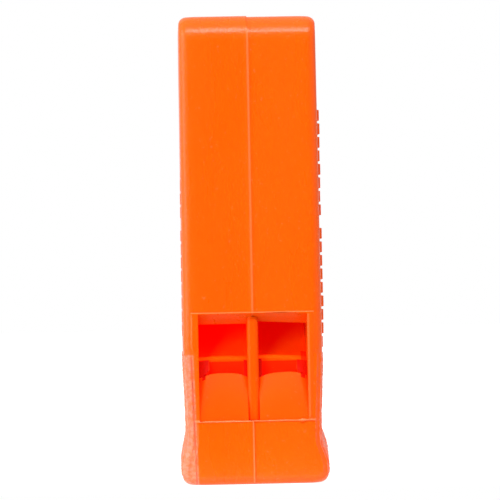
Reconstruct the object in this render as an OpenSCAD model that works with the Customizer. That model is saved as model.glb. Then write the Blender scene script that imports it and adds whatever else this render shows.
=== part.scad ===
// Twin-tube rescue whistle with no pea: two half shells joined on a centre seam, a partition
// plate between the two resonance chambers, and a windway insert on each side.
// +Z is up with the mouth end down, the sound windows face -Y, and the seam is the plane x = 0.

/* [Body] */
// Height from the mouth end to the top
body_h = 46.7; // [44:0.1:50]
// Depth from the front edge to the back edge
body_d = 22; // [21:0.5:24]
// Half thickness across the broad faces, at the bottom of the body
body_half_w = 6.92; // [6.8:0.02:7.1]
// Half thickness across the broad faces, at the top
top_half_w = 6.8; // [6.7:0.02:6.9]
// Wall thickness of the shells at their edges
wall = 1.5; // [1.3:0.05:1.6]

/* [Mouthpiece] */
// Depth of the mouthpiece from the front edge
mouth_d = 18; // [17:0.5:19]
// Height at which the mouthpiece meets the body
mouth_h = 13.3; // [13:0.1:13.6]
// Half thickness at the waist behind the bite lip
waist_half_w = 6.76; // [6.6:0.01:6.85]
// Half thickness at the bite lip
lip_half_w = 7.28; // [7.1:0.01:7.4]

/* [Sound windows] */
// Height of the lower edge of the windows
window_z0 = 6.33; // [6:0.05:6.6]
// Height of the upper edge of the windows, on the front face
window_z1 = 16.95; // [16.5:0.05:17.5]
// How far the bevelled blade at the top of a window slopes down
blade_drop = 1.0; // [0.8:0.05:1.2]

/* [Chambers] */
// Height at which the left chamber is closed
chamber_top = 38.3; // [37.5:0.1:38.5]
// Height at which the tuning rib closes the right chamber
tuned_top = 36.0; // [34:0.1:36.5]
// Thickness of the partition plate
plate_t = 1.1; // [1:0.05:1.2]

/* [Lanyard hole] */
// Radius of the lanyard hole
lanyard_r = 2.25; // [2:0.05:2.5]
// Distance of the lanyard hole from the top and from the back
lanyard_in = 6; // [5.5:0.1:6.5]

/* [Grip ribs] */
// Distance from one grip rib to the next
rib_pitch = 1.35; // [1.3:0.01:1.37]
// Height of a grip rib above the broad face
rib_h = 0.3; // [0.15:0.05:0.35]

/* [Hidden] */
$fn = 64;

shell_colour = "darkorange";
insert_colour = "orangered";

y_front = -body_d / 2;
y_back = body_d / 2;
y_mouth = y_front + mouth_d;
far = 30;
past = 1;       // how far a cut runs on beyond the face it opens
overlap = 0.5;  // how far joined shapes run into each other
sliver = 0.01;

front_corner_r = 2.5;
edge_r = 0.9;
mouth_edge_r = 1.6;
top_edge_r = 0.85;
bottom_edge_r = 1.0;
step_r = (y_back - y_mouth) / 2;
scallop_depth = 0.8;
scallop_z0 = 18;
scallop_z1 = 33;
waist_z = 5.2;
lip_z = 2.0;

cavity_y0 = y_front + wall;
cavity_y1 = 5.5;
cavity_half_w = 5.42;
half_plate = plate_t / 2;
lanyard_y = y_back - lanyard_in;
lanyard_z = body_h - lanyard_in;
boss_r = lanyard_r + 1.5;
hole_chamfer = 0.4;
rib_wall = 1.3;

pocket_z0 = chamber_top + rib_wall + 0.3;
pocket_y1 = lanyard_y - boss_r - 1.2;
pocket_chamfer = 1;
spine_y0 = cavity_y1 + rib_wall;
spine_y1 = y_back - scallop_depth - rib_wall;
spine_z0 = 21;
spine_z1 = 32;

pin_r = 0.8;
pin_len = 2.6;
pin_gap = 0.03;
socket_depth = pin_len + 0.4;
pin_boss_r = 1.9;
pocket_pin = [-5, 42.6];
pins = [[8.2, 18], [8.2, 34.6], pocket_pin];

insert_gap = 0.03;
insert_z0 = 0.6;
key_y = [-2, 2];
key_z = [5.5, 8];
key_depth = 0.45;
front_lip = [y_front + 1.05, 11.0];
front_lip_t = 0.33;
back_lip = [y_front + 2.4, 12.45];
floor_z = 17.1;
floor_y = 1.5;
ramp_foot = [y_front + 0.08, window_z0 + insert_gap];
duct_x0 = 0.9;
duct_x1 = 4.95;
duct_front_y = cavity_y0 + 0.8;
duct_front_bend = 5.0;
duct_mouth_y = y_front + 10;
duct_heel = [y_front + 9.6, 1.8];
duct_neck = [y_front + 3.8, 9.0];
core_foot = [y_front + 11.1, 1.8];
core_neck = [y_front + 5.2, 9.2];
core_neck_top = 12.3;
core_back_y = cavity_y1 - rib_wall;
core_top = floor_z - rib_wall;

plate_front = y_front + 0.9;
plate_tongue = y_front + 0.4;
plate_back = cavity_y1 + 0.7;
plate_top = chamber_top + 0.9;
plate_gap = 0.04;
seam_gap = 0.02;
boss_relief = 0.35;
tongue_gap = 0.05;
tongue_foot = window_z0 + 0.1;

rib_groove = 0.18;
rib_land = rib_pitch - rib_groove;
rib_root = top_half_w - 0.3;
rib_y0 = y_front + 2.2;
rib_y1 = 2.4;
rib_groups = [[13.45, 9], [26.6, 8]]; // lower edge of the group, number of ribs

// Points along an arc, centre c, radius r, from angle a0 to a1
function arc(c, r, a0, a1, n = 9) =
    [for (i = [0:n]) c + r * [cos(a0 + (a1 - a0) * i / n), sin(a0 + (a1 - a0) * i / n)]];

// 0 to 1, flat at both ends
function ease(t) = let (u = max(0, min(1, t))) u * u * (3 - 2 * u);

// Half thickness across the broad faces at height z
function half_w(z) =
    z < waist_z
        ? waist_half_w + (lip_half_w - waist_half_w) * ease((waist_z - z) / (waist_z - lip_z))
        : z < mouth_h
            ? waist_half_w + (body_half_w - waist_half_w) * ease((z - waist_z) / (mouth_h - waist_z))
            : body_half_w + (top_half_w - body_half_w) * (z - mouth_h) / (body_h - mouth_h);

// Height of the tongue under the sloping blade, at depth y
function tongue_top(y) = window_z1 - tongue_gap - (y - y_front) * blade_drop / wall;

// Extrusions of a [y, z] outline along X, and of an [x, z] outline along Y
module along_x(x0, x1) translate([x0, 0, 0]) rotate([90, 0, 90]) linear_extrude(x1 - x0) children();
module along_y(y0, y1) translate([0, y1, 0]) rotate([90, 0, 0]) linear_extrude(y1 - y0) children();

// Outline of a broad face, in [y, z]
module side_outline() {
    chord = scallop_z1 - scallop_z0;
    scallop_r = scallop_depth / 2 + chord * chord / (8 * scallop_depth);
    scallop_a = asin(chord / 2 / scallop_r);
    scallop_c = [y_back - scallop_depth + scallop_r, (scallop_z0 + scallop_z1) / 2];
    polygon(concat(
        arc([y_front + edge_r, edge_r], edge_r, 180, 270),
        arc([y_mouth - edge_r, edge_r], edge_r, 270, 360),
        arc([y_mouth + step_r, mouth_h - step_r], step_r, 180, 90),
        arc([y_back - step_r, mouth_h + step_r], step_r, 270, 360),
        arc(scallop_c, scallop_r, 180 + scallop_a, 180 - scallop_a),
        arc([lanyard_y, lanyard_z], lanyard_in, 0, 90),
        arc([y_front + front_corner_r, body_h - front_corner_r], front_corner_r, 90, 180)));
}

// Right half of the front view's outline, in [x, z]
module front_outline() {
    polygon(concat(
        [[0, 0]],
        arc([half_w(bottom_edge_r) - bottom_edge_r, bottom_edge_r], bottom_edge_r, 270, 360),
        [for (z = [bottom_edge_r + 0.2:0.4:mouth_h]) [half_w(z), z]],
        [[body_half_w, mouth_h]],
        arc([top_half_w - top_edge_r, body_h - top_edge_r], top_edge_r, 0, 90),
        [[0, body_h]]));
}

// Right half of the plan outline, in [x, y], with rounded outer corners
module plan_outline(w, y0, y1, r) {
    polygon(concat(
        [[0, y0]],
        arc([w - r, y0 + r], r, 270, 360),
        arc([w - r, y1 - r], r, 0, 90),
        [[0, y1]]));
}

// The right half of the whistle as one solid
module half_form() {
    intersection() {
        along_x(0, far) side_outline();
        along_y(-far, far) front_outline();
        union() {
            linear_extrude(mouth_h) plan_outline(lip_half_w, y_front, y_mouth, mouth_edge_r);
            translate([0, 0, mouth_h - step_r])
                linear_extrude(2 * far) plan_outline(body_half_w, y_front, y_back, edge_r);
        }
    }
}

// The blowing passage and resonance chamber, one space from the mouth end to the chamber top
module cavity() {
    difference() {
        along_x(-past, cavity_half_w)
            polygon([[cavity_y0, -past], [cavity_y1, -past], [cavity_y1, chamber_top],
                     [cavity_y0, chamber_top]]);
        lanyard_boss();
    }
}

// A cylinder along X, round the point at = [y, z]
module along_pin(x0, x1, at, r) translate([x0, at[0], at[1]]) rotate([0, 90, 0]) cylinder(r = r, h = x1 - x0);

module lanyard_boss() along_pin(-2, far, [lanyard_y, lanyard_z], boss_r);

// A window through the front wall, with the bevelled blade above it
module window_cut() {
    slope = blade_drop / wall;
    along_x(-past, cavity_half_w)
        polygon([[y_front - past, window_z0], [cavity_y0 + sliver, window_z0],
                 [cavity_y0 + sliver, window_z1 - blade_drop],
                 [y_front - past, window_z1 + past * slope]]);
}

// Closed hollows that keep the walls even, above the chamber and behind it
module coring() {
    along_x(-past, cavity_half_w)
        polygon([[cavity_y0, pocket_z0], [pocket_y1, pocket_z0], [pocket_y1, body_h - wall],
                 [cavity_y0 + pocket_chamfer, body_h - wall],
                 [cavity_y0, body_h - wall - pocket_chamfer]]);
    along_x(-past, cavity_half_w)
        polygon([[spine_y0, spine_z0], [spine_y1, spine_z0], [spine_y1, spine_z1],
                 [spine_y0, spine_z1]]);
}

// The partition plate's outline, in [y, z], grown by g, with the tongue standing out by t
module plate_outline(g, t = 0) {
    difference() {
        polygon([[plate_front - g, insert_z0 - g], [plate_back + g, insert_z0 - g],
                 [plate_back + g, plate_top + g], [plate_front - g, plate_top + g],
                 [plate_front - g, tongue_top(plate_front)],
                 [plate_front - g - t, tongue_top(plate_front - t)],
                 [plate_front - g - t, tongue_foot], [plate_front - g, tongue_foot]]);
        translate([lanyard_y, lanyard_z]) circle(r = boss_r + boss_relief - g);
    }
}

module lanyard_bore() {
    mouth_x = half_w(lanyard_z) - hole_chamfer;
    mouth_r = lanyard_r + 2 * hole_chamfer;
    along_pin(-far, far, [lanyard_y, lanyard_z], lanyard_r);
    translate([mouth_x, lanyard_y, lanyard_z]) rotate([0, 90, 0])
        cylinder(r1 = lanyard_r, r2 = mouth_r, h = 2 * hole_chamfer);
}

// Raised ribs across a broad face, lower towards the back
module grip_ribs() {
    for (group = rib_groups)
        for (i = [0:group[1] - 1]) {
            z = group[0] + i * rib_pitch;
            face = half_w(z);
            translate([0, 0, z]) linear_extrude(rib_land)
                polygon([[rib_root, rib_y0], [face, rib_y0], [face + rib_h, rib_y0 + rib_h],
                         [face + rib_h / 2, rib_y1 - rib_h], [face, rib_y1], [rib_root, rib_y1]]);
        }
}

// What both shells share, drawn as the right-hand one
module shell_half() {
    difference() {
        union() {
            half_form();
            grip_ribs();
        }
        cavity();
        window_cut();
        coring();
        along_x(-past, half_plate + seam_gap) plate_outline(plate_gap);
        lanyard_bore();
        translate([0, key_y[0] - insert_gap, key_z[0] - insert_gap])
            cube([cavity_half_w + key_depth, key_y[1] - key_y[0] + 2 * insert_gap,
                  key_z[1] - key_z[0] + 2 * insert_gap]);
    }
    // Boss for the pin in the upper hollow
    along_pin(0, cavity_half_w + overlap, pocket_pin, pin_boss_r);
}

// The right shell has the sockets, and a rib that tunes its chamber a little higher
module right_shell() {
    color(shell_colour) union() {
        difference() {
            shell_half();
            for (p = pins) along_pin(-past, socket_depth, p, pin_r + pin_gap);
        }
        translate([half_plate + seam_gap, cavity_y0 - overlap, tuned_top])
            cube([cavity_half_w - half_plate, cavity_y1 - cavity_y0 + 2 * overlap, rib_wall]);
    }
}

// The left shell has the locating pins
module left_shell() {
    color(shell_colour) union() {
        mirror([1, 0, 0]) shell_half();
        for (p = pins) along_pin(-2, pin_len, p, pin_r);
    }
}

// Flat plate between the chambers, with a tongue that shows between the two windows
module partition_plate() {
    color(insert_colour) along_x(-half_plate, half_plate)
        plate_outline(0, plate_front - plate_tongue);
}

// Body of a windway insert, in [y, z]: ramp in front, chamber floor on top
module insert_outline() {
    y0 = cavity_y0 + insert_gap;
    y1 = cavity_y1 - insert_gap;
    polygon([[y0, insert_z0], [y1, insert_z0], [y1, floor_z], [floor_y, floor_z], back_lip,
             [front_lip[0] + front_lip_t, front_lip[1]], front_lip,
             ramp_foot, [y0, ramp_foot[1]]]);
}

// The duct from the mouth to the slit, narrowing towards the slit
module duct_outline() {
    slit_y = front_lip[0] + front_lip_t;
    polygon([[duct_front_y, 0], [duct_mouth_y, 0], duct_heel, duct_neck, back_lip,
             back_lip + [-2 * sliver, past], [slit_y, front_lip[1] + 2 * past],
             [slit_y, front_lip[1]], [duct_front_y, duct_front_bend]]);
}

// The hollow behind the duct, open towards the partition plate
module insert_coring() {
    polygon([core_foot, [core_back_y, core_foot[1]], [core_back_y, core_top],
             [floor_y + overlap, core_top], [core_neck[0], core_neck_top], core_neck]);
}

module windway_insert() {
    x0 = half_plate + insert_gap;
    x1 = cavity_half_w - insert_gap;
    difference() {
        union() {
            along_x(x0, x1) insert_outline();
            translate([x1 - overlap, key_y[0], key_z[0]])
                cube([overlap + key_depth, key_y[1] - key_y[0], key_z[1] - key_z[0]]);
        }
        along_x(duct_x0, duct_x1) duct_outline();
        along_x(0, x1 - rib_wall) insert_coring();
    }
}

module right_windway_insert() color(insert_colour) windway_insert();
module left_windway_insert() color(insert_colour) mirror([1, 0, 0]) windway_insert();

left_shell();
right_shell();
partition_plate();
left_windway_insert();
right_windway_insert();
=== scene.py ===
import math

import bmesh
import bpy
from mathutils import Matrix, Vector, noise


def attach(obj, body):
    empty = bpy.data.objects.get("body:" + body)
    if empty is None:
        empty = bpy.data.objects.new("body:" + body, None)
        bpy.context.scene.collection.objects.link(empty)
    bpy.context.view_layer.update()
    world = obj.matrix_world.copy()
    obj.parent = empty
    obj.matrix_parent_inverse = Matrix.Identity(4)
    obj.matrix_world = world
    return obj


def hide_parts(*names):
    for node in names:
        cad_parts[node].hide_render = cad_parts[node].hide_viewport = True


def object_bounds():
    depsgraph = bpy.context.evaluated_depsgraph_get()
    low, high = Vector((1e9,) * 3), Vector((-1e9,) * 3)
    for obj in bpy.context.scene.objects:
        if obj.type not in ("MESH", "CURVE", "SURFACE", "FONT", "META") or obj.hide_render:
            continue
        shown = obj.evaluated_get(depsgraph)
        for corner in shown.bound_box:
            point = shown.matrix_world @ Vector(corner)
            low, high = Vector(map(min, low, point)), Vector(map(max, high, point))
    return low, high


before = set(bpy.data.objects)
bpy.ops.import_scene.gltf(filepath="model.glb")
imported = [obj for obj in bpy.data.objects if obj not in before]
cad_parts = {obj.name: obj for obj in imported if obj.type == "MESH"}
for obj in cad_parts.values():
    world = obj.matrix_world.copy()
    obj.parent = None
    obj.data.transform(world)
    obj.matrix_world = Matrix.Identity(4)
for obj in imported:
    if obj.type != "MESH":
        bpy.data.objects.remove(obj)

BOX_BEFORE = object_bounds()
MM = 0.001
LEFT, RIGHT = -1, 1

# ---------------------------------------------------------------- sizes, in mm, in the row frame
(_, Y_FRONT, _), (_, Y_BACK, BODY_H) = [[round(n / MM, 3) for n in corner] for corner in BOX_BEFORE]
WALL, MOUTH_DEPTH = 1.5, 18.0
Y_MOUTH = Y_FRONT + MOUTH_DEPTH
MOUTH_H, STEP_R = 13.3, 2.0
FRONT_FILLET, TOP_EDGE_R, BOTTOM_EDGE_R = 2.5, 0.85, 1.0
BODY_EDGE_R, MOUTH_EDGE_R = 0.9, 1.15
BODY_W, TOP_W = 6.92, 6.8
WAIST_W = {LEFT: 6.7, RIGHT: 6.64}
LIP_W = {LEFT: 7.22, RIGHT: 7.36}
# heights where the lip starts and where it is full: at mid-depth by side, and at the front and back
LIP_START, LIP_START_END = {LEFT: 5.6, RIGHT: 6.4}, 4.4
LIP_FULL, LIP_FULL_END = {LEFT: 2.0, RIGHT: 3.4}, 1.7
TOP_STEP = 0.09  # the right half is this much lower at the top
CROWN = 0.05  # the front face falls back by this much towards its outer edge
LEFT_PROUD, LEFT_PROUD_BELOW = 0.05, 0.09  # the left half stands this much further forward
SEAM_W, SEAM_BEAD, BACK_SEAM = 0.1, 0.06, 0.1
FACE_XS = [0, 0.05, 0.1, 0.2, 0.5, 1.2, 2.2, 3.2, 4.2, 4.9, 5.3]
BACK_XS = [4.4, 2.8, 1.4, 0.5, 0.18, 0.1, 0]
CORNER_STEPS, COLUMNS, FIRST_COLUMN, LAST_COLUMN = 10, 80, -9.65, 5.4
SCALLOP_Z0, SCALLOP_Z1, SCALLOP_DEPTH = 18.0, 33.0, 0.8
LANYARD_IN, LANYARD_R, HOLE_CHAMFER = 6.0, 2.25, 0.4
LANYARD_Y, LANYARD_Z, BOSS_R = Y_BACK - LANYARD_IN, BODY_H - LANYARD_IN, LANYARD_R + WALL
CAVITY_Y0, CAVITY_Y1, CAVITY_W = Y_FRONT + WALL, 5.5, 5.42
CHAMBER_TOP = {LEFT: 38.3, RIGHT: 36.0}
WINDOW_Z0, WINDOW_Z1, BLADE_DROP = 6.33, 16.95, 1.0
BLADE_Z = {LEFT: (15.97, 15.97), RIGHT: (16.26, 15.93)}  # heights of the blade's edge, inside and outside
FLASH_END = {LEFT: 5.15, RIGHT: 6.15}
PLATE_W, PLATE_Y0, PLATE_Y1, PLATE_Z0, PLATE_Z1 = 0.57, -10.14, 6.24, 0.56, 39.24
PLATE_GAP, PLATE_ARC = 0.04, (-73, -159)  # the arc, in degrees, passes under the lanyard boss
INSERT_X0, INSERT_X1, INSERT_GAP = 0.56, 5.41, 0.03
RAMP_MID, RAMP_HALF_FOOT, RAMP_HALF_LIP, SLIT_HALF = 2.88, 2.5, 2.05, 2.02
RIB_PITCH, RIB_LAND, RIB_H, RIB_EDGE = 1.35, 1.17, 0.3, 0.07
RIB_Y0, RIB_Y1 = -8.8, 2.4
RIB_GROUPS = ((13.45, 9), (26.6, 8))  # lower edge, number of ribs
BITE_Z0, BITE_Z1, BITE_H = 0.9, 12.95, 0.1
SURROUND_Z1, SURROUND_H = 17.12, 0.07
FLOOR_Y, FLOOR_Z = 1.5, 17.1
TONGUE_Y, TONGUE_Z0 = -10.6, 6.43
PAST = 1  # how far a cut runs on beyond the face it opens


def ease(t):
    t = max(0.0, min(1.0, t))
    return t * t * (3 - 2 * t)


def lerp(a, b, t):
    return a + (b - a) * t


def round_in(d, r):
    """How far a rounded edge of radius r has drawn in, at distance d from the end of the part."""
    return r - math.sqrt(max(0.0, r * r - (r - d) ** 2)) if d < r else 0.0


# ---------------------------------------------------------------- mesh helpers
def new_object(name, verts, faces):
    mesh = bpy.data.meshes.new(name)
    mesh.from_pydata([Vector(v) * MM for v in verts], [], faces)
    mesh.validate()
    bm = bmesh.new()
    bm.from_mesh(mesh)
    bmesh.ops.remove_doubles(bm, verts=bm.verts, dist=1e-7)
    bmesh.ops.recalc_face_normals(bm, faces=bm.faces)
    bm.to_mesh(mesh)
    bm.free()
    obj = bpy.data.objects.new(name, mesh)
    bpy.context.scene.collection.objects.link(obj)
    return obj


def loft(name, rings):
    """A closed solid through rings of equal length, capped at both ends."""
    n = len(rings[0])
    verts = [p for ring in rings for p in ring]
    faces = []
    for j in range(len(rings) - 1):
        for i in range(n):
            k = (i + 1) % n
            faces.append((j * n + i, j * n + k, (j + 1) * n + k, (j + 1) * n + i))
    faces.append(tuple(reversed(range(n))))
    faces.append(tuple((len(rings) - 1) * n + i for i in range(n)))
    return new_object(name, verts, faces)


def prism(name, outline, x0, x1):
    """An outline in [y, z] extruded along X."""
    return loft(name, [[(x, y, z) for y, z in outline] for x in (x0, x1)])


def circle(x, at, r, n):
    """Points round at = [y, z], square to X."""
    turn = [2 * math.pi * i / n for i in range(n)]
    return [(x, at[0] + r * math.cos(a), at[1] + r * math.sin(a)) for a in turn]


def cylinder(name, x0, x1, at, r0, r1, n=72):
    """A cylinder or cone along X."""
    return loft(name, [circle(x0, at, r0, n), circle(x1, at, r1, n)])


def ball(name, at, r):
    bm = bmesh.new()
    bmesh.ops.create_icosphere(bm, subdivisions=3, radius=r * MM)
    mesh = bpy.data.meshes.new(name)
    bm.to_mesh(mesh)
    bm.free()
    obj = bpy.data.objects.new(name, mesh)
    bpy.context.scene.collection.objects.link(obj)
    mesh.transform(Matrix.Translation(Vector(at) * MM))
    return obj


def boolean(obj, tool, operation="DIFFERENCE"):
    """Cuts the tool out of the object or joins it on, and removes the tool."""
    mod = obj.modifiers.new("bool", "BOOLEAN")
    mod.operation, mod.solver, mod.object = operation, "EXACT", tool
    bpy.context.view_layer.update()
    baked = bpy.data.meshes.new_from_object(obj.evaluated_get(bpy.context.evaluated_depsgraph_get()))
    obj.modifiers.clear()
    old = obj.data
    obj.data = baked
    bpy.data.meshes.remove(old)
    bpy.data.objects.remove(tool)


def edge_bevel(obj, width, chosen, segments=2):
    """Rounds the edges sharper than 30 degrees whose middle, in mm, passes chosen(x, y, z)."""
    mesh = obj.data
    bm = bmesh.new()
    bm.from_mesh(mesh)
    layer = bm.edges.layers.float.new("bevel_weight_edge")
    limit = math.radians(30)
    for e in bm.edges:
        if len(e.link_faces) == 2 and e.calc_face_angle(0) > limit:
            mid = (e.verts[0].co + e.verts[1].co) / 2 / MM
            e[layer] = float(chosen(*mid))
    bm.to_mesh(mesh)
    bm.free()
    mod = obj.modifiers.new("edges", "BEVEL")
    mod.limit_method, mod.width, mod.segments = "WEIGHT", width * MM, segments
    mod.use_clamp_overlap = True
    mod.harden_normals = False


def finish_mesh(obj, angle=32):
    """Smooth shading, broken at edges sharper than the angle, in degrees."""
    for p in obj.data.polygons:
        p.use_smooth = True
    obj.data.set_sharp_from_angle(angle=math.radians(angle))
    mod = obj.modifiers.new("normals", "WEIGHTED_NORMAL")
    mod.keep_sharp = True
    mod.weight = 60


def number_faces(obj, number):
    """Gives each face the material number(x, y, z) for its middle, in mm."""
    for p in obj.data.polygons:
        p.material_index = number(*(p.center / MM))


def mirror_x(obj):
    obj.data.transform(Matrix.Scale(-1, 4, (1, 0, 0)))
    obj.data.flip_normals()


# ---------------------------------------------------------------- shells
def front_y(z):
    return Y_FRONT + round_in(z, BODY_EDGE_R) + round_in(BODY_H - z, FRONT_FILLET)


def back_y(z):
    if z < MOUTH_H - STEP_R:
        return Y_MOUTH - round_in(z, BODY_EDGE_R)
    if z < MOUTH_H:
        return Y_MOUTH + round_in(MOUTH_H - z, STEP_R)
    if z < MOUTH_H + STEP_R:
        return Y_BACK - round_in(z - MOUTH_H, STEP_R)
    if SCALLOP_Z0 < z < SCALLOP_Z1:
        chord = SCALLOP_Z1 - SCALLOP_Z0
        r = SCALLOP_DEPTH / 2 + chord * chord / (8 * SCALLOP_DEPTH)
        return Y_BACK - SCALLOP_DEPTH + r - math.sqrt(r * r - (z - (SCALLOP_Z0 + SCALLOP_Z1) / 2) ** 2)
    return Y_BACK - round_in(BODY_H - z, LANYARD_IN)


def half_width(z, y, side):
    """Half thickness: waist and bite lip below, a slight taper above.

    The lip starts lower at its front and back.
    """
    across = abs((y - (Y_FRONT + Y_MOUTH) / 2) / ((Y_MOUTH - Y_FRONT) / 2))
    start = lerp(LIP_START[side], LIP_START_END, ease(across * across))
    full = lerp(LIP_FULL[side], LIP_FULL_END, ease(across * across))
    if z < start:
        w = lerp(WAIST_W[side], LIP_W[side], ease((start - z) / (start - full)))
    elif z < MOUTH_H:
        w = lerp(WAIST_W[side], BODY_W, ease((z - start) / (MOUTH_H - start)))
    else:
        w = lerp(BODY_W, TOP_W, (z - MOUTH_H) / (BODY_H - MOUTH_H))
    return w - round_in(z, BOTTOM_EDGE_R) - round_in(BODY_H - z, TOP_EDGE_R)


def layers():
    """Heights of the rings, close together at round edges, ribs and the bite grip."""
    zs = [i * 0.9 for i in range(52)]
    for r in (BODY_EDGE_R, BOTTOM_EDGE_R):
        zs += [r - r * math.cos(math.radians(a)) for a in range(0, 91, 12)]
    for r in (FRONT_FILLET, TOP_EDGE_R, LANYARD_IN):
        zs += [BODY_H - r + r * math.sin(math.radians(a)) for a in range(0, 91, 9)]
    for a in range(0, 91, 10):
        zs += [MOUTH_H - STEP_R + STEP_R * math.sin(math.radians(a))]
        zs += [MOUTH_H + STEP_R - STEP_R * math.sin(math.radians(a))]
    for z0, count in RIB_GROUPS:
        for i in range(count):
            z = z0 + i * RIB_PITCH
            zs += [z, z + RIB_EDGE, z + RIB_LAND - RIB_EDGE, z + RIB_LAND]
    zs += [i * 0.15 for i in range(6, 89)]
    zs += [0.0, BODY_H, SURROUND_Z1 - 0.05, SURROUND_Z1, WINDOW_Z0 - 0.12, WINDOW_Z0 - 0.06]
    kept = []
    for z in sorted(zs):
        if not kept or z - kept[-1] > 0.012:
            kept.append(min(z, BODY_H))
    kept[-1] = BODY_H
    return kept


def rib(z, y, side):
    """Height of the grip ribs: lower on the left face, at the foot of the row and towards the back."""
    for z0, count in RIB_GROUPS:
        i = int((z - z0) / RIB_PITCH + 1e-6)
        if z >= z0 - 1e-6 and i < count:
            t = z - z0 - i * RIB_PITCH
            if t <= RIB_LAND + 1e-6:
                up = min(1.0, t / RIB_EDGE, (RIB_LAND - t) / RIB_EDGE)
                lowest = z0 == RIB_GROUPS[0][0] and i == 0
                high = (0.5 if lowest else 1.0) * (1.0 if side == RIGHT else 0.4 * ease((32 - z) / 2))
                jitter = 0.85 + 0.3 * noise.noise(Vector((i * 3.1, z0, side)))
                fade = lerp(1.0, 0.5, (y - RIB_Y0) / (RIB_Y1 - RIB_Y0))
                return max(0.0, up) * RIB_H * high * jitter * fade
    return 0.0


def bite(z, k):
    """Height of the flutes of the bite grip: every third column k stands proud, unevenly."""
    if not BITE_Z0 <= z <= BITE_Z1:
        return 0.0
    rough = 0.75 + 0.7 * noise.noise(Vector((z * 3.1, k * 1.7, 3.0)))
    return BITE_H * (rough if k % 3 == 0 else 0.15 * rough)


def ring(z, side):
    """The plan outline of a half shell at height z, in right-hand coordinates."""
    yf, yb = front_y(z), back_y(z)
    r = lerp(MOUTH_EDGE_R, BODY_EDGE_R, ease((z - 12.6) / 1.4))
    wf, wb = half_width(z, yf, side), half_width(z, yb, side)
    above, below = z > WINDOW_Z1, z < WINDOW_Z0
    proud = LEFT_PROUD if side == LEFT else 0.0
    out = []
    for x in FACE_XS + [wf - r]:
        y = yf + CROWN * x / wf - proud * min(1.0, x / 0.2)
        y += 0.018 * noise.noise(Vector((x * side * 0.35, z * 0.16, 7.0)))
        if WINDOW_Z0 - 0.08 < z < SURROUND_Z1 - 0.03:
            y -= SURROUND_H
        if above and x <= SEAM_W:
            y -= SEAM_BEAD * (0.8 + 0.5 * noise.noise(Vector((z * 0.8, 1.0, 2.0))))
        if side == LEFT and below:
            y -= LEFT_PROUD_BELOW
        out.append((min(x, wf - r), y, z))
    for i in range(1, CORNER_STEPS + 1):
        a = math.radians(90 * i / CORNER_STEPS)
        x = wf - r + r * math.sin(a)
        y = yf + r + CROWN - r * math.cos(a) - proud * (1 - i / CORNER_STEPS)
        d = bite(z, i) if i > 1 else 0.0
        out.append((x + d * math.sin(a), y - d * math.cos(a), z))
    start, end = yf + r + 0.16, yb - r
    for k in range(COLUMNS):
        y = lerp(max(start, FIRST_COLUMN), min(LAST_COLUMN, end - 0.3), k / (COLUMNS - 1))
        w = half_width(z, y, side)
        d = rib(z, y, side) if RIB_Y0 < y < RIB_Y1 else 0.0
        out.append((w + d + bite(z, k), y, z))
    last_y = out[-1][1]
    for t in (0.2, 0.4, 0.6, 0.8):
        y = lerp(last_y, end, t)
        out.append((half_width(z, y, side), y, z))
    for i in range(0, CORNER_STEPS + 1):
        a = math.radians(90 * i / CORNER_STEPS)
        out.append((wb - r + r * math.cos(a), end + r * math.sin(a), z))
    for x in BACK_XS:
        out.append((x, yb - (BACK_SEAM if x <= SEAM_W else 0.0), z))
    drop = TOP_STEP * ease((z - 44) / 2.4) if side == RIGHT else 0.0
    return [(x, y, z - drop) for x, y, z in out]


def boss_arc(r, a0, a1, n=8):
    """Points round the lanyard hole in [y, z], from angle a0 to a1 in degrees."""
    turn = [math.radians(lerp(a0, a1, i / n)) for i in range(n + 1)]
    return [(LANYARD_Y + r * math.cos(a), LANYARD_Z + r * math.sin(a)) for a in turn]


def cavity_outline(top, blade):
    """Blowing passage, window and chamber as one outline in [y, z]."""
    slope = (WINDOW_Z1 - blade) / (CAVITY_Y0 - Y_FRONT)
    points = [(CAVITY_Y0, -PAST), (CAVITY_Y1, -PAST)]
    if top > LANYARD_Z - BOSS_R:
        low = math.degrees(math.asin((CAVITY_Y1 - LANYARD_Y) / BOSS_R)) - 90
        high = -180 + math.degrees(math.asin((LANYARD_Z - top) / BOSS_R))
        points += boss_arc(BOSS_R, low, high)
    else:
        points += [(CAVITY_Y1, top)] * 9
    points += [(CAVITY_Y0, top), (CAVITY_Y0, blade), (Y_FRONT - PAST, WINDOW_Z1 + slope)]
    points += [(Y_FRONT - PAST, WINDOW_Z0), (CAVITY_Y0, WINDOW_Z0)]
    return points


def add_flash(shell, side):
    """The thin, uneven line of mould flash along the foot of the window, joined to the shell."""
    end, count, rings = FLASH_END[side], 60, []
    for i in range(count + 1):
        x = lerp(0.02, end, i / count)
        r = 0.05 + 0.02 * noise.noise(Vector((x * 1.7, side, 4.0)))
        r += 0.12 * math.exp(-((x - 4.85) / 0.3) ** 2) if side == RIGHT else 0.0
        r *= min(1.0, (end - x) / 0.6 + 0.2)
        z = WINDOW_Z0 + 0.03 * noise.noise(Vector((x * 0.6, side, 9.0)))
        rings.append(circle(x, (Y_FRONT + CROWN * x / TOP_W - SURROUND_H, z), r, 8))
    boolean(shell, loft("flash", rings), "UNION")


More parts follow.
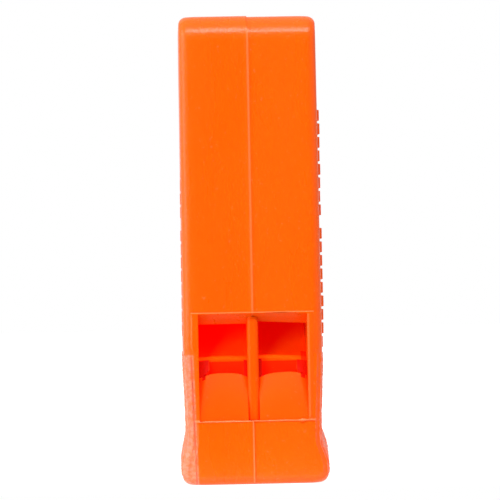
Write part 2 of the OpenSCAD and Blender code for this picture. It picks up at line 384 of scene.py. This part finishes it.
def make_shell(name, side):
    shell = loft(name, [ring(z, side) for z in layers()])
    cut = []
    for x, blade in zip((-PAST, CAVITY_W), BLADE_Z[side]):
        cut.append([(x, y, z) for y, z in cavity_outline(CHAMBER_TOP[side], blade)])
    boolean(shell, loft("cut", cut))
    groove = [(PLATE_Y0, PLATE_Z0), (PLATE_Y1, PLATE_Z0)] + boss_arc(BOSS_R + 0.31, *PLATE_ARC)
    boolean(shell, prism("cut", groove + [(PLATE_Y0, PLATE_Z1)], -PAST, PLATE_W))
    hole, cone_r = (LANYARD_Y, LANYARD_Z), LANYARD_R + 2 * HOLE_CHAMFER
    boolean(shell, cylinder("cut", -PAST, 9, hole, LANYARD_R, LANYARD_R))
    face = half_width(LANYARD_Z, LANYARD_Y, side)
    boolean(shell, cylinder("cut", face - HOLE_CHAMFER, face + HOLE_CHAMFER, hole, LANYARD_R, cone_r))
    add_flash(shell, side)

    def at_window(x, y, z):
        return 0.6 < x < CAVITY_W + 0.05 and y < -9.3 and WINDOW_Z0 - 0.1 < z < WINDOW_Z1 + 0.1

    edge_bevel(shell, 0.11, at_window, segments=3)
    if side == LEFT:
        mirror_x(shell)
    finish_mesh(shell)

    # material 1, for the faces inside the chamber, is the chamber plastic with its painted red glow
    def number(x, y, z):
        return int(CAVITY_Y0 < y < CAVITY_Y1 + 0.05 and abs(x) < CAVITY_W + 0.01 and z < 38.5)

    number_faces(shell, number)
    return shell


# ---------------------------------------------------------------- windway inserts
def lip_z(x, side):
    """Height of the front lip across the slit: arched, with its crown nearer the outside on the right."""
    t = (x - RAMP_MID) / SLIT_HALF
    arch = 0.27 * abs(t) ** 3
    tilt = 0.1 * t if side == RIGHT else 0.0
    return 11.05 + tilt - arch


def back_lip_z(x, side):
    t = (x - RAMP_MID) / SLIT_HALF
    return 12.44 - 0.08 * t * t - (0.13 * t if side == RIGHT else 0.0)


def insert_ring(x, side):
    """The outline of an insert in [y, z] at one place across it."""
    off = abs(x - RAMP_MID)
    y0, y1, foot = CAVITY_Y0 + INSERT_GAP, CAVITY_Y1 - INSERT_GAP, WINDOW_Z0 + INSERT_GAP
    points = [(y0, 0.6), (y1, 0.6), (y1, FLOOR_Z), (FLOOR_Y, FLOOR_Z)]
    lip = (-8.6, back_lip_z(x, side))
    for t in (0.2, 0.4, 0.6, 0.8):
        dip = 0.25 * math.sin(math.pi * t)
        points.append((lerp(FLOOR_Y, lip[0], t), lerp(FLOOR_Z, lip[1], t) - dip))
    points += [lip, (lip[0] - 0.14, lip[1] - 0.05)]
    z_top = lip_z(x, side)
    ramp = []
    for k in range(13):
        v = k / 12
        half = lerp(RAMP_HALF_FOOT, RAMP_HALF_LIP, v)
        side_on = max(0.0, off - half + 0.3)
        back = 0.1 * v * (min(off, half) / half) ** 2 + 0.5 * v * side_on * min(1.0, side_on / 0.7)
        y = lerp(-10.93, -9.96, v) - 0.16 * math.sin(math.pi * v) + back
        ramp.append((min(y, -9.2), lerp(foot, z_top, v)))
    points += [(ramp[-1][0] + 0.34, z_top + 0.02), (ramp[-1][0] + 0.05, z_top + 0.02)]
    points += list(reversed(ramp))
    points.append((y0, foot))
    return [(x, y, z) for y, z in points]


def duct_cut():
    """The blowing duct, whose outer side leans in as it nears the slit."""
    outline = [(-8.7, -PAST), (-1.0, -PAST), (-1.4, 1.8), (-7.2, 9.0), (-8.55, 12.2),
               (-8.72, 14.0), (-9.55, 14.0), (-9.6, 11.0), (-8.7, 5.0)]
    inner = [(0.9, y, z) for y, z in outline]
    outer = [(4.95 - max(0.0, z - 10.7) * 0.26, y, z) for y, z in outline]
    return loft("cut", [inner, outer])


def make_insert(name, side):
    count = 44
    xs = [lerp(INSERT_X0, INSERT_X1, i / count) for i in range(count + 1)]
    insert = loft(name, [insert_ring(x, side) for x in xs])
    boolean(insert, duct_cut())
    for x, z, r in ((0.98, lip_z(1.0, side), 0.2), (4.8, lip_z(4.8, side), 0.26)):
        boolean(insert, ball("cut", (x, -9.62, z - 0.04), r))
    edge_bevel(insert, 0.05, lambda x, y, z: y < -8.2 and z > 10 and 1.3 < x < 4.4)
    if side == LEFT:
        mirror_x(insert)
    finish_mesh(insert, 40)

    def number(x, y, z):
        # the chamber floor on top of the insert takes material 2, the chamber plastic with its painted red
        # glow
        on_floor = z > 12.3 + (y + 8.6) * 0.35
        if on_floor and y > -8.65:
            return 2
        # the ends of the slit take material 3, the notch plastic with painted shade
        if 10.6 < z < 12.3 and -9.9 < y < -8.6 and not 1.1 < abs(x) < 4.45:
            return 3
        # faces behind the front lip take material 1, the duct plastic with painted shade and painted glow
        return int(y > -9.62)

    number_faces(insert, number)
    return insert


# ---------------------------------------------------------------- partition plate
def make_plate(name):
    """Flat plate between the chambers; the tongue between the windows has rounded front edges."""
    slope = -BLADE_DROP / WALL
    front, half = PLATE_Y0 + PLATE_GAP, PLATE_W - 0.02
    outline = [(front, PLATE_Z0 + PLATE_GAP), (PLATE_Y1 - PLATE_GAP, PLATE_Z0 + PLATE_GAP)]
    outline += boss_arc(BOSS_R + 0.35, *PLATE_ARC) + [(front, PLATE_Z1 - PLATE_GAP)]
    tops = [(y, WINDOW_Z1 - 0.02 + (y - Y_FRONT) * slope) for y in (front, TONGUE_Y)]
    outline += tops + [(TONGUE_Y, TONGUE_Z0), (front, TONGUE_Z0)]
    plate = prism(name, outline, -half, half)
    edge_bevel(plate, 0.34, lambda x, y, z: abs(y - TONGUE_Y) < 0.01 and 7 < z < 16, segments=4)
    finish_mesh(plate)
    return plate


# ---------------------------------------------------------------- materials
WHITE, BLACK = (1, 1, 1, 1), (0, 0, 0, 1)
# HIGHLIGHT_LINE is the colour of painted highlights: pale lines on the shells' seam and window edges
SPECK, HIGHLIGHT_LINE = (1.0, 0.42, 0.22, 1), (1.0, 0.5, 0.25, 1)
# CREASE_SHADE: painted shade for the crease of the left bite grip
# GRIP_FROST_AND_SHEEN: pale pink of the bite grip, partly its frosted texture and partly painted sheen
GRIP_FROST_AND_SHEEN, CREASE_SHADE = (1.0, 0.4, 0.34, 1), (0.4, 0.05, 0.02, 1)


def plastic(name, base, dark, rough, grain, gloss, glow=0.0, marks=False):
    """Orange plastic with grain, flow marks, specks and wear.

    glow is painted red light, an emission that stands in for the light coming through thin walls;
    marks adds what only the shells have: painted highlights along the seam and window edges,
    the bite grip's pale frosting with painted sheen, and painted shade in the crease of the grip.
    """
    mat = bpy.data.materials.new(name)
    mat.use_nodes = True
    nt = mat.node_tree
    bsdf = nt.nodes["Principled BSDF"]
    coords = nt.nodes.new("ShaderNodeTexCoord")

    def mapped(scale):
        node = nt.nodes.new("ShaderNodeMapping")
        node.inputs["Scale"].default_value = scale
        nt.links.new(coords.outputs["Object"], node.inputs["Vector"])
        return node.outputs["Vector"]

    def noise_at(scale, detail, roughness=0.5):
        node = nt.nodes.new("ShaderNodeTexNoise")
        node.inputs["Scale"].default_value = 1.0
        node.inputs["Detail"].default_value = detail
        node.inputs["Roughness"].default_value = roughness
        nt.links.new(mapped(scale), node.inputs["Vector"])
        return node.outputs["Fac"]

    def ramp(fac, stops):
        node = nt.nodes.new("ShaderNodeValToRGB")
        for element, (at, colour) in zip(node.color_ramp.elements, stops):
            element.position, element.color = at, colour
        nt.links.new(fac, node.inputs["Fac"])
        return node.outputs["Color"]

    def maths(operation, a, b):
        node = nt.nodes.new("ShaderNodeMath")
        node.operation = operation
        for socket, value in zip(node.inputs, (a, b)):
            if isinstance(value, (int, float)):
                socket.default_value = value
            else:
                nt.links.new(value, socket)
        return node.outputs[0]

    def times(first, *others):
        for other in others:
            first = maths("MULTIPLY", first, other)
        return first

    def mix(fac, a, b):
        node = nt.nodes.new("ShaderNodeMix")
        node.data_type = "RGBA"
        nt.links.new(fac, node.inputs["Factor"])
        for socket, value in ((node.inputs[6], a), (node.inputs[7], b)):
            if isinstance(value, tuple):
                socket.default_value = value
            else:
                nt.links.new(value, socket)
        return node.outputs[2]

    flow = noise_at((90, 90, 30), 3)
    speck = noise_at((2600, 2600, 2600), 2, 0.6)
    colour = ramp(flow, [(0.3, (*dark, 1)), (0.7, (*base, 1))])
    pale = ramp(speck, [(0.66, BLACK), (0.76, WHITE)])
    colour = mix(times(pale, 0.1), colour, SPECK)
    if marks:
        parts = nt.nodes.new("ShaderNodeSeparateXYZ")
        nt.links.new(coords.outputs["Object"], parts.inputs["Vector"])
        x, y, z = parts.outputs
        aside = maths("ABSOLUTE", x, 0)

        def step(value, low, high):
            node = nt.nodes.new("ShaderNodeMapRange")
            node.interpolation_type = "SMOOTHSTEP"
            node.inputs["From Min"].default_value = low * MM
            node.inputs["From Max"].default_value = high * MM
            nt.links.new(value, node.inputs["Value"])
            return node.outputs["Result"]

        on_left = step(x, 0.0, -1.0)
        # painted highlights: a pale line down the seam bead above the windows, and one along the step where
        # the left half stands proud below them
        seam = times(step(aside, 0.15, 0.06), step(z, 16.5, 17.5), 0.7)
        seam_low_highlight = times(step(aside, 0.22, 0.1), step(x, 0.0, -0.03), step(z, 6.5, 6.2))
        # painted highlights along the window's foot, over the flash line, and along its head, over the
        # bevel's edge
        foot = times(step(z, WINDOW_Z0 - 0.11, WINDOW_Z0 - 0.03), step(z, WINDOW_Z0 + 0.17, WINDOW_Z0 + 0.09))
        head_highlight = step(z, SURROUND_Z1 - 0.08, SURROUND_Z1 - 0.04)
        head_highlight = times(head_highlight, step(z, SURROUND_Z1 + 0.08, SURROUND_Z1 + 0.01))
        highlight_lines = times(maths("MAXIMUM", foot, head_highlight), step(aside, 6.2, 6.0))
        highlight_lines = maths("MAXIMUM", highlight_lines, maths("MAXIMUM", seam, seam_low_highlight))
        # mixes the painted highlight lines into the front face
        colour = mix(times(highlight_lines, step(y, -10.6, -10.85), 0.22), colour, HIGHLIGHT_LINE)

        slant = maths("SUBTRACT", aside, times(z, 0.027))
        serration = ramp(noise_at((1700, 1700, 2300), 3, 0.7), [(0.38, (0.3, 0.3, 0.3, 1)), (0.62, WHITE)])
        faces = maths("MAXIMUM", on_left, step(y, -10.1, -9.8))
        # the bite grip's pale pink: partly the grip's frosted texture, partly painted sheen, stronger on the
        # right-hand face (x > 0)
        grip = times(step(slant, 5.52, 5.64), step(z, 13.1, 12.8), step(y, 6.0, 5.5), faces, serration)
        frost_and_sheen = maths("ADD", 0.36, times(step(x, 0.0, 1.0), 0.2))
        colour = mix(times(grip, frost_and_sheen), colour, GRIP_FROST_AND_SHEEN)
        # painted shade: a dark line in the crease of the left bite grip, towards its front
        crease = times(step(slant, 5.7, 5.76), step(slant, 5.9, 5.84), on_left, step(z, 12.9, 12.6))
        colour = mix(times(crease, step(y, -8.0, -9.0), serration, 0.8), colour, CREASE_SHADE)

        # painted highlight: a pale line down the outer jamb of the right-hand window
        jamb_highlight = times(step(x, CAVITY_W, 5.48), step(x, 5.7, 5.58), step(z, 6.4, 6.8), step(z, 17.0, 16.8))
        colour = mix(times(jamb_highlight, 0.12), colour, HIGHLIGHT_LINE)
    nt.links.new(colour, bsdf.inputs["Base Color"])
    bsdf.inputs["Subsurface Weight"].default_value = 0.12
    bsdf.inputs["Subsurface Radius"].default_value = (0.8, 0.15, 0.03)
    bsdf.inputs["Subsurface Scale"].default_value = MM
    bsdf.inputs["IOR"].default_value = 1.45
    bsdf.inputs["Specular IOR Level"].default_value = gloss
    # the emission is a painted red glow, standing in for the light that comes through thin walls
    bsdf.inputs["Emission Color"].default_value = (1.0, 0.001, 0.0, 1)
    bsdf.inputs["Emission Strength"].default_value = glow
    wear = noise_at((240, 240, 60), 4, 0.6)
    nt.links.new(maths("ADD", times(wear, 0.16), rough - 0.08), bsdf.inputs["Roughness"])
    fine = noise_at((3800, 3800, 3800), 2)
    wide = noise_at((420, 420, 260), 3)
    scratch = noise_at((5200, 5200, 160), 1)
    height = maths("ADD", times(fine, 0.6), wide)
    height = maths("ADD", height, times(scratch, 0.12))
    bump = nt.nodes.new("ShaderNodeBump")
    bump.inputs["Strength"].default_value = grain
    bump.inputs["Distance"].default_value = 0.06 * MM
    nt.links.new(height, bump.inputs["Height"])
    nt.links.new(bump.outputs["Normal"], bsdf.inputs["Normal"])
    return mat


shell_plastic = plastic("shell_plastic", (0.96, 0.111, 0.0016), (0.95, 0.096, 0.0004),
                        rough=0.28, grain=0.8, gloss=0.3, marks=True)
insert_plastic = plastic("insert_plastic", (0.96, 0.091, 0.0004), (0.94, 0.082, 0.0003),
                         rough=0.4, grain=0.3, gloss=0.12)
# painted glow: red emission standing in for the light coming through the chambers' thin walls
chamber_glow_plastic = plastic("chamber_glow_plastic", (0.96, 0.12, 0.0006), (0.94, 0.11, 0.0005),
                          rough=0.6, grain=0.2, gloss=0.1, glow=0.36)
# painted shade and glow: the duct behind the slit is a darker copy of the chamber plastic, with a red glow
duct_shade_plastic = plastic("duct_shade_plastic", (0.96, 0.035, 0.0006), (0.94, 0.03, 0.0005),
                       rough=0.6, grain=0.2, gloss=0.1, glow=0.3)
# painted shade: the slit's ends are a much darker copy of the plastic, with a faint red glow
notch_shade_plastic = plastic("notch_shade_plastic", (0.62, 0.008, 0.0004), (0.55, 0.006, 0.0003),
                        rough=0.6, grain=0.2, gloss=0.1, glow=0.1)

# ---------------------------------------------------------------- pieces
SHELL_SET = (shell_plastic, chamber_glow_plastic)
INSERT_SET = (insert_plastic, duct_shade_plastic, chamber_glow_plastic, notch_shade_plastic)
pieces = [
    (make_shell("left_shell_moulding", LEFT), "left_shell", "shell", SHELL_SET),
    (make_shell("right_shell_moulding", RIGHT), "right_shell", "shell", SHELL_SET),
    (make_plate("partition_moulding"), "partition_plate", "insert", INSERT_SET),
    (make_insert("left_windway_moulding", LEFT), "left_windway_insert", "insert", INSERT_SET),
    (make_insert("right_windway_moulding", RIGHT), "right_windway_insert", "insert", INSERT_SET),
]
for piece, node, slot_name, materials in pieces:
    numbers = [p.material_index for p in piece.data.polygons]
    piece.data.materials.clear()
    for material in materials:
        piece.data.materials.append(material)
    piece.data.polygons.foreach_set("material_index", numbers)
    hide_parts(node)
    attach(piece, "root")


# ---------------------------------------------------------------- floor
def paper(name, strength, albedo):
    """Matt paper with a little light of its own, as the ground is pure white."""
    mat = bpy.data.materials.new(name)
    mat.use_nodes = True
    bsdf = mat.node_tree.nodes["Principled BSDF"]
    bsdf.inputs["Base Color"].default_value = (albedo, albedo, albedo, 1)
    bsdf.inputs["Roughness"].default_value = 0.8
    bsdf.inputs["Specular IOR Level"].default_value = 0.1
    bsdf.inputs["Emission Color"].default_value = WHITE
    bsdf.inputs["Emission Strength"].default_value = strength
    return mat


FLOOR_X, FLOOR_Y0, FLOOR_Y1 = 400, -19, 700
corners = [(-FLOOR_X, FLOOR_Y0, 0), (FLOOR_X, FLOOR_Y0, 0), (FLOOR_X, FLOOR_Y1, 0), (-FLOOR_X, FLOOR_Y1, 0)]
floor = new_object("floor", corners, [(0, 1, 2, 3)])
floor.data.materials.append(paper("floor_paper", 0.9, 0.35))


# ---------------------------------------------------------------- light
def area_light(name, at, target, size, power):
    data = bpy.data.lights.new(name, "AREA")
    data.shape, data.size, data.size_y = "RECTANGLE", size[0] * MM, size[1] * MM
    data.energy = power
    light = bpy.data.objects.new(name, data)
    light.location = Vector(at) * MM
    light.rotation_euler = (Vector(target) - Vector(at)).to_track_quat("-Z", "Y").to_euler()
    bpy.context.scene.collection.objects.link(light)
    return light


key = area_light("key", (-135, -290, 72), (0, 0, 24), (90, 120), 0.4)
key.visible_glossy = False
area_light("side", (-260, -110, 110), (0, 0, 24), (200, 260), 0.5)
area_light("top", (10, -200, 270), (0, 0, 40), (300, 14), 0.86)


def make_world():
    """A light tent: dark in front, brighter to the left, and white where the camera sees it."""
    world = bpy.data.worlds.new("tent")
    world.use_nodes = True
    nodes, links = world.node_tree.nodes, world.node_tree.links

    def fade(value, low, high, at_low, at_high):
        node = nodes.new("ShaderNodeMapRange")
        node.inputs["From Min"].default_value = low
        node.inputs["From Max"].default_value = high
        node.inputs["To Min"].default_value = at_low
        node.inputs["To Max"].default_value = at_high
        links.new(value, node.inputs["Value"])
        return node.outputs["Result"]

    def maths(operation, a, b):
        node = nodes.new("ShaderNodeMath")
        node.operation = operation
        links.new(a, node.inputs[0])
        links.new(b, node.inputs[1])
        return node.outputs[0]

    split = nodes.new("ShaderNodeSeparateXYZ")
    links.new(nodes.new("ShaderNodeTexCoord").outputs["Generated"], split.inputs["Vector"])
    depth = fade(split.outputs["Y"], -0.95, -0.4, 0.02, 0.8)
    across = fade(split.outputs["X"], -1.0, 1.0, 1.15, 0.7)
    seen = nodes.new("ShaderNodeLightPath").outputs["Is Camera Ray"]
    background = nodes["Background"]
    links.new(maths("MAXIMUM", maths("MULTIPLY", depth, across), seen), background.inputs["Strength"])
    background.inputs["Color"].default_value = WHITE
    return world


scene = bpy.context.scene
scene.world = make_world()
scene.view_settings.view_transform = "Standard"
scene.view_settings.look = "None"

# ---------------------------------------------------------------- camera
CAMERA_DISTANCE, YAW, ROLL, AIM = 375.0, 1.3, -1.1, (0.14, 0.0, 23.3)
SENSOR, VIEW_WIDTH = 36.0, 49.65  # VIEW_WIDTH is how much the picture shows at the front face
cam_data = bpy.data.cameras.new("camera")
cam_data.sensor_width = SENSOR
cam_data.lens = SENSOR * (CAMERA_DISTANCE + Y_FRONT) / VIEW_WIDTH
cam = bpy.data.objects.new("camera", cam_data)
scene.collection.objects.link(cam)
yaw = math.radians(YAW)
aim = Vector(AIM)
spot = aim + Vector((-math.sin(yaw), -math.cos(yaw), 0)) * CAMERA_DISTANCE
look = (aim - spot).to_track_quat("-Z", "Y").to_matrix().to_4x4()
cam.matrix_world = Matrix.Translation(spot * MM) @ look @ Matrix.Rotation(math.radians(ROLL), 4, "Z")
cam_data.clip_start, cam_data.clip_end = 0.01, 10.0
scene.camera = cam
